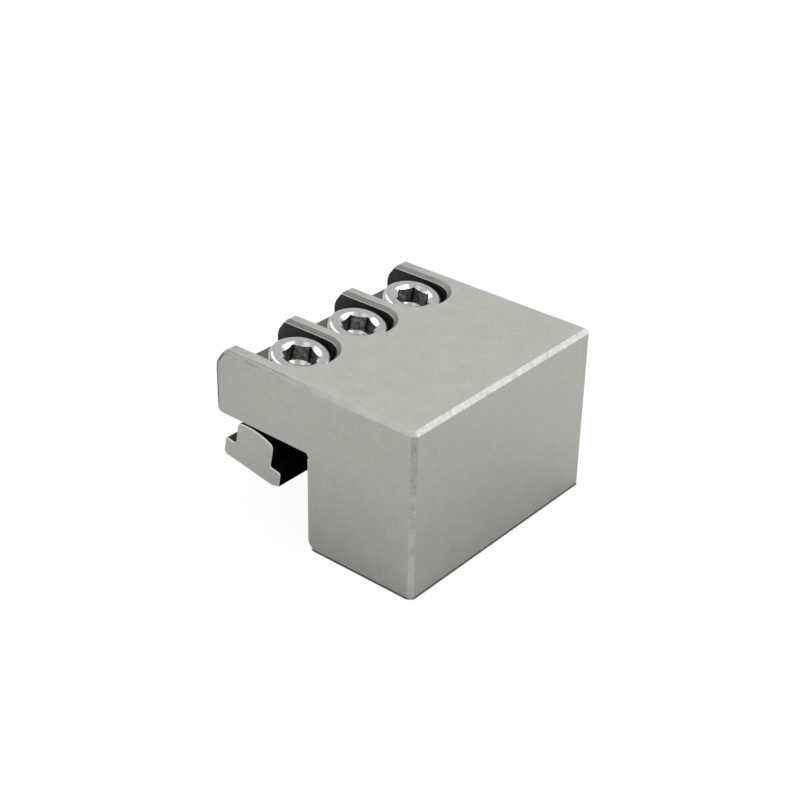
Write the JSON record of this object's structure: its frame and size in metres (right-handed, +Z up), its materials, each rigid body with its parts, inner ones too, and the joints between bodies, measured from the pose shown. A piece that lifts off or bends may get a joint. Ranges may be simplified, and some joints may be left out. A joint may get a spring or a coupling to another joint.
{
  "type": "hard vise jaw",
  "caption": "Hardened L-shaped vise jaw that seats on a slotted rail, with leaning cap screws in open slots that pull a hat-section clamp bar up beneath its overhang.",
  "frame": {"origin": "middle of the block's outline, seen from above, on the plane that its foot rests on", "axes": "+X towards the clamping face, +Y along the rail and the clamp bar, +Z up from the foot"},
  "size_m": [0.04, 0.044, 0.029],
  "materials": {
    "jaw_steel": "fine ground, satin",
    "bar_steel": "milled, satin",
    "screw_steel": "bright plated"
  },
  "bodies": {
    "jaw": {"jaw_block": "jaw_steel"},
    "clamp_bar": {"clamp_bar": "bar_steel"},
    "screw_1": {"cap_screw_1": "screw_steel"},
    "screw_2": {"cap_screw_2": "screw_steel"},
    "screw_3": {"cap_screw_3": "screw_steel"}
  },
  "joints": [
    {"name": "screw_1_turn", "type": "hinge", "parent": "jaw", "child": "screw_1", "pos_m": [-0.0107, -0.0136, 0.02245], "axis": [0.1736, 0, 0.9848], "range_deg": [-90, 1440]},
    {"name": "screw_2_turn", "type": "hinge", "parent": "jaw", "child": "screw_2", "pos_m": [-0.0107, 0, 0.02245], "axis": [0.1736, 0, 0.9848], "range_deg": [-90, 1440]},
    {"name": "screw_3_turn", "type": "hinge", "parent": "jaw", "child": "screw_3", "pos_m": [-0.0107, 0.0136, 0.02245], "axis": [0.1736, 0, 0.9848], "range_deg": [-90, 1440]},
    {"name": "clamp_bar_travel", "type": "slide", "parent": "jaw", "child": "clamp_bar", "axis": [-0.1736, 0, -0.9848], "range_m": [-0.00025, 0.004]}
  ],
  "couplings": [
    {"joint": "screw_2_turn", "follows": "screw_1_turn", "ratio": 1},
    {"joint": "screw_3_turn", "follows": "screw_1_turn", "ratio": 1},
    {"joint": "clamp_bar_travel", "follows": "screw_1_turn", "m_per_rad": 0.00015915}
  ]
}
